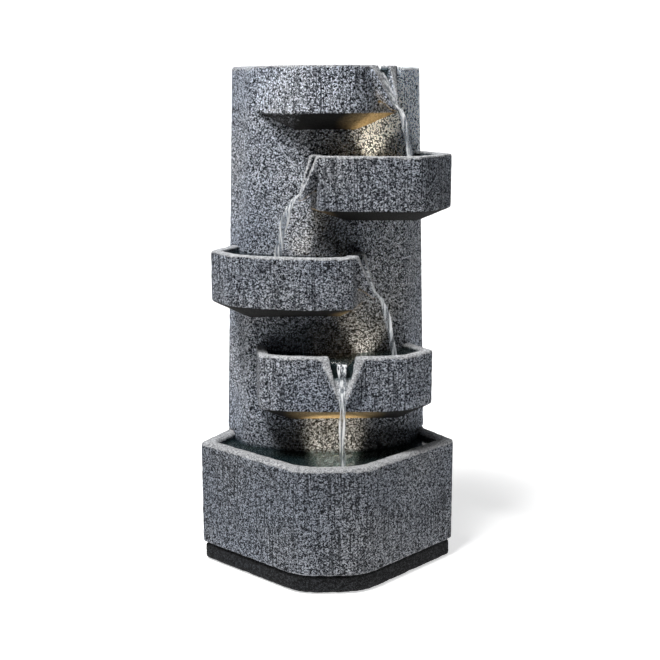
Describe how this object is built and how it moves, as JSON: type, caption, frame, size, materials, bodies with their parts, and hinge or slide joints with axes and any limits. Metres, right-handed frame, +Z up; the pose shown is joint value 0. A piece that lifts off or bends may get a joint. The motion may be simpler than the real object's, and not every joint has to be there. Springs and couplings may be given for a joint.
{
  "type": "tabletop water fountain",
  "caption": "Stone-look tabletop water fountain: faceted basin, tapered tower and offset bowls with beak spouts, pump, warm lamps and rear door.",
  "frame": {"origin": "middle of the underside, at the table, under the centre of the bounding box", "axes": "+Z up along the tower, front facet and spout of the lower bowl face -Y, +X to the viewer's right"},
  "size_m": [0.2322, 0.156, 0.45],
  "materials": {
    "cast_stone": "rough granite-speckled cast stone",
    "cast_stone_bowls": "rough granite-speckled cast stone, combed",
    "dark_plinth": "dark speckled cast stone",
    "rubber": "matt moulded rubber",
    "black_plastic": "fine-textured moulded plastic",
    "grey_plastic": "fine-textured moulded plastic",
    "dial_plastic": "moulded plastic",
    "clear_tube": "flexible clear vinyl",
    "steel": "stainless steel",
    "ceramic": "ground ceramic",
    "lens": "frosted warm lamp lens"
  },
  "bodies": {
    "fountain": {"rubber_feet": "rubber", "plinth": "dark_plinth", "basin": "cast_stone", "tower_shell": "cast_stone", "tower_cap": "cast_stone", "bowl_lower": "cast_stone_bowls", "bowl_middle": "cast_stone_bowls", "bowl_upper": "cast_stone_bowls", "bowl_top": "cast_stone_bowls", "rear_cover": "black_plastic", "cover_screws": "steel", "door_gasket": "rubber", "door_pins": "steel", "pump_body": "black_plastic", "pump_volute": "black_plastic", "pump_shaft": "ceramic", "pump_feet": "rubber", "riser_tube": "clear_tube", "riser_clips": "grey_plastic", "outlet_elbow": "black_plastic", "junction_box": "grey_plastic", "junction_lid": "grey_plastic", "pump_lead": "rubber", "cable_grommet": "rubber", "lead_grommets": "rubber", "lamp_housing_1": "grey_plastic", "lamp_lens_1": "lens", "lamp_lead_1": "rubber", "lamp_housing_2": "grey_plastic", "lamp_lens_2": "lens", "lamp_lead_2": "rubber", "lamp_housing_3": "grey_plastic", "lamp_lens_3": "lens", "lamp_lead_3": "rubber", "lamp_housing_4": "grey_plastic", "lamp_lens_4": "lens", "lamp_lead_4": "rubber"},
    "rotor": {"pump_rotor": "grey_plastic"},
    "dial": {"flow_dial": "dial_plastic"},
    "grille": {"pump_grille": "black_plastic"},
    "door": {"access_door": "black_plastic"},
    "drain": {"drain_plug": "rubber", "drain_seal": "rubber"}
  },
  "joints": [
    {"name": "rotor_spin", "type": "hinge", "parent": "fountain", "child": "rotor", "pos_m": [0, 0.03, 0.047], "axis": [0, 1, 0], "continuous": true},
    {"name": "dial_turn", "type": "hinge", "parent": "fountain", "child": "dial", "pos_m": [0.023, 0.0235, 0.047], "axis": [1, 0, 0], "range_deg": [0, 120]},
    {"name": "grille_slide", "type": "slide", "parent": "fountain", "child": "grille", "axis": [0, -1, 0], "range_m": [0, 0.008]},
    {"name": "door_swing", "type": "hinge", "parent": "fountain", "child": "door", "pos_m": [-0.04, 0.074, 0.1763], "axis": [0, 0, 1], "range_deg": [0, 105]},
    {"name": "drain_pull", "type": "slide", "parent": "fountain", "child": "drain", "axis": [0, 1, 0], "range_m": [0, 0.013]}
  ]
}
